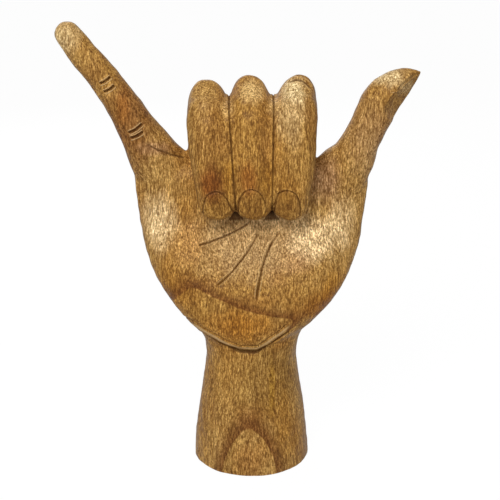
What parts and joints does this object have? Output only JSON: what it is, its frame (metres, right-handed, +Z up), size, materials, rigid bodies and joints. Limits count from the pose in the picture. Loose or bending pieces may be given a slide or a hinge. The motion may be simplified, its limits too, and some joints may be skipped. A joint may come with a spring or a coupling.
{
  "type": "hand gesture sculpture",
  "caption": "Standing carved wooden right hand on its cut wrist, middle fingers curled onto the palm, thumb and little finger held out.",
  "frame": {"origin": "middle of the flat foot that the sculpture stands on", "axes": "+Z up along the wrist, -Y the way the palm faces, +X towards the thumb"},
  "size_m": [0.2319, 0.0799, 0.2998],
  "materials": {
    "oiled_hardwood": "satin oiled tropical hardwood with growth rings, pores and light tool marks"
  },
  "bodies": {
    "root": {"wrist_pedestal": "oiled_hardwood", "palm": "oiled_hardwood", "little_finger": "oiled_hardwood", "ring_finger": "oiled_hardwood", "middle_finger": "oiled_hardwood", "index_finger": "oiled_hardwood", "thumb": "oiled_hardwood"}
  },
  "joints": []
}
